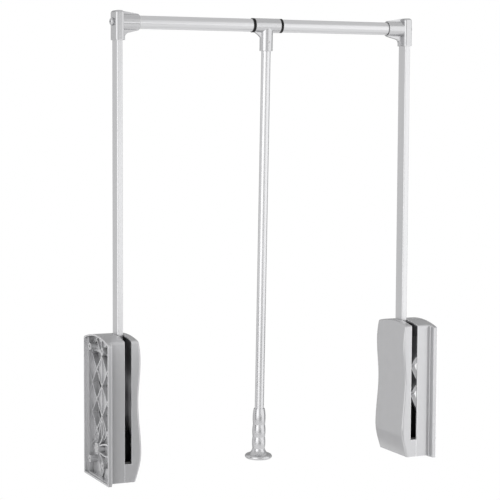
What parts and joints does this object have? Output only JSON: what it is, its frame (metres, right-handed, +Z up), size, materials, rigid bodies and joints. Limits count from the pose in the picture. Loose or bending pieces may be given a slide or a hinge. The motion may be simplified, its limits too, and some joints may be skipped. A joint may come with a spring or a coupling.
{
  "type": "pull-down clothes rail",
  "caption": "Wardrobe lift: a telescopic clothes rail on swinging arms with sprung side housings, lowered by a pull rod with a flared grip.",
  "frame": {"origin": "middle of the left housing's four wall screws, on the wall face", "axes": "+X from the left wall to the right wall, +Y to the back of the wardrobe, +Z up"},
  "size_m": [0.62, 0.126, 0.7838],
  "materials": {
    "housing_plastic": "fine satin moulded grey",
    "silver_plastic": "satin silver lacquer",
    "aluminium": "satin anodised, drawn lengthwise",
    "black_plastic": "moulded black nylon",
    "natural_plastic": "natural acetal",
    "steel": "bright zinc",
    "spring_steel": "oiled spring wire",
    "rubber": "matt"
  },
  "bodies": {
    "left_housing": {"left_wall_base": "housing_plastic", "left_cover": "housing_plastic", "left_axle": "steel", "left_axle_clip": "steel", "left_cover_bush": "natural_plastic", "left_torsion_spring": "spring_steel", "left_damper_body": "black_plastic", "left_damper_screws": "steel", "left_upper_pad": "rubber", "left_lower_pad": "rubber"},
    "left_frame": {"left_arm_foot": "black_plastic", "left_foot_bush": "natural_plastic", "left_arm_tube": "aluminium", "left_arm_rivets": "steel", "left_corner_connector": "silver_plastic", "left_corner_screw": "steel", "left_end_plug": "natural_plastic", "left_rail_tube": "aluminium", "left_rail_ring": "black_plastic"},
    "left_pinion": {"left_damper_pinion": "natural_plastic"},
    "right_housing": {"right_wall_base": "housing_plastic", "right_cover": "housing_plastic", "right_axle": "steel", "right_axle_clip": "steel", "right_cover_bush": "natural_plastic", "right_torsion_spring": "spring_steel", "right_damper_body": "black_plastic", "right_damper_screws": "steel", "right_upper_pad": "rubber", "right_lower_pad": "rubber"},
    "right_frame": {"right_arm_foot": "black_plastic", "right_foot_bush": "natural_plastic", "right_arm_tube": "aluminium", "right_arm_rivets": "steel", "right_corner_connector": "silver_plastic", "right_corner_screw": "steel", "right_end_plug": "natural_plastic", "right_rail_tube": "aluminium", "right_rail_ring": "black_plastic"},
    "right_pinion": {"right_damper_pinion": "natural_plastic"},
    "rail_core": {"inner_rail": "aluminium", "snap_rings": "spring_steel"},
    "handle": {"tee": "silver_plastic", "tee_set_screw": "steel", "pull_rod": "aluminium", "rod_plug": "natural_plastic", "grip": "silver_plastic", "grip_cap": "silver_plastic", "grip_screw": "steel"}
  },
  "joints": [
    {"name": "arm_swing", "type": "hinge", "parent": "left_housing", "child": "left_frame", "pos_m": [0.0392, 0, -0.073], "axis": [1, 0, 0], "range_deg": [0, 95], "stiffness_Nm_per_rad": 12, "springref_deg": -20.05, "deforming": ["left_torsion_spring"]},
    {"name": "left_damper_spin", "type": "hinge", "parent": "left_housing", "child": "left_pinion", "pos_m": [0.0488, 0.02659, -0.04641], "axis": [1, 0, 0], "range_deg": [-380, 0]},
    {"name": "rail_width", "type": "slide", "parent": "left_frame", "child": "rail_core", "axis": [1, 0, 0], "range_m": [0, 0.105]},
    {"name": "right_width", "type": "slide", "parent": "rail_core", "child": "right_frame", "axis": [1, 0, 0], "range_m": [0, 0.105]},
    {"name": "handle_swing", "type": "hinge", "parent": "rail_core", "child": "handle", "pos_m": [0.31, 0, 0.639], "axis": [1, 0, 0], "continuous": true},
    {"name": "right_arm_swing", "type": "hinge", "parent": "right_frame", "child": "right_housing", "pos_m": [0.5808, 0, -0.073], "axis": [1, 0, 0], "range_deg": [-95, 0], "deforming": ["right_torsion_spring"]},
    {"name": "right_damper_spin", "type": "hinge", "parent": "right_housing", "child": "right_pinion", "pos_m": [0.5712, 0.02659, -0.04641], "axis": [1, 0, 0], "range_deg": [-380, 0]}
  ],
  "couplings": [
    {"joint": "left_damper_spin", "follows": "arm_swing", "ratio": -4},
    {"joint": "right_arm_swing", "follows": "arm_swing", "ratio": -1},
    {"joint": "right_damper_spin", "follows": "arm_swing", "ratio": -4},
    {"joint": "right_width", "follows": "rail_width", "ratio": 1}
  ]
}
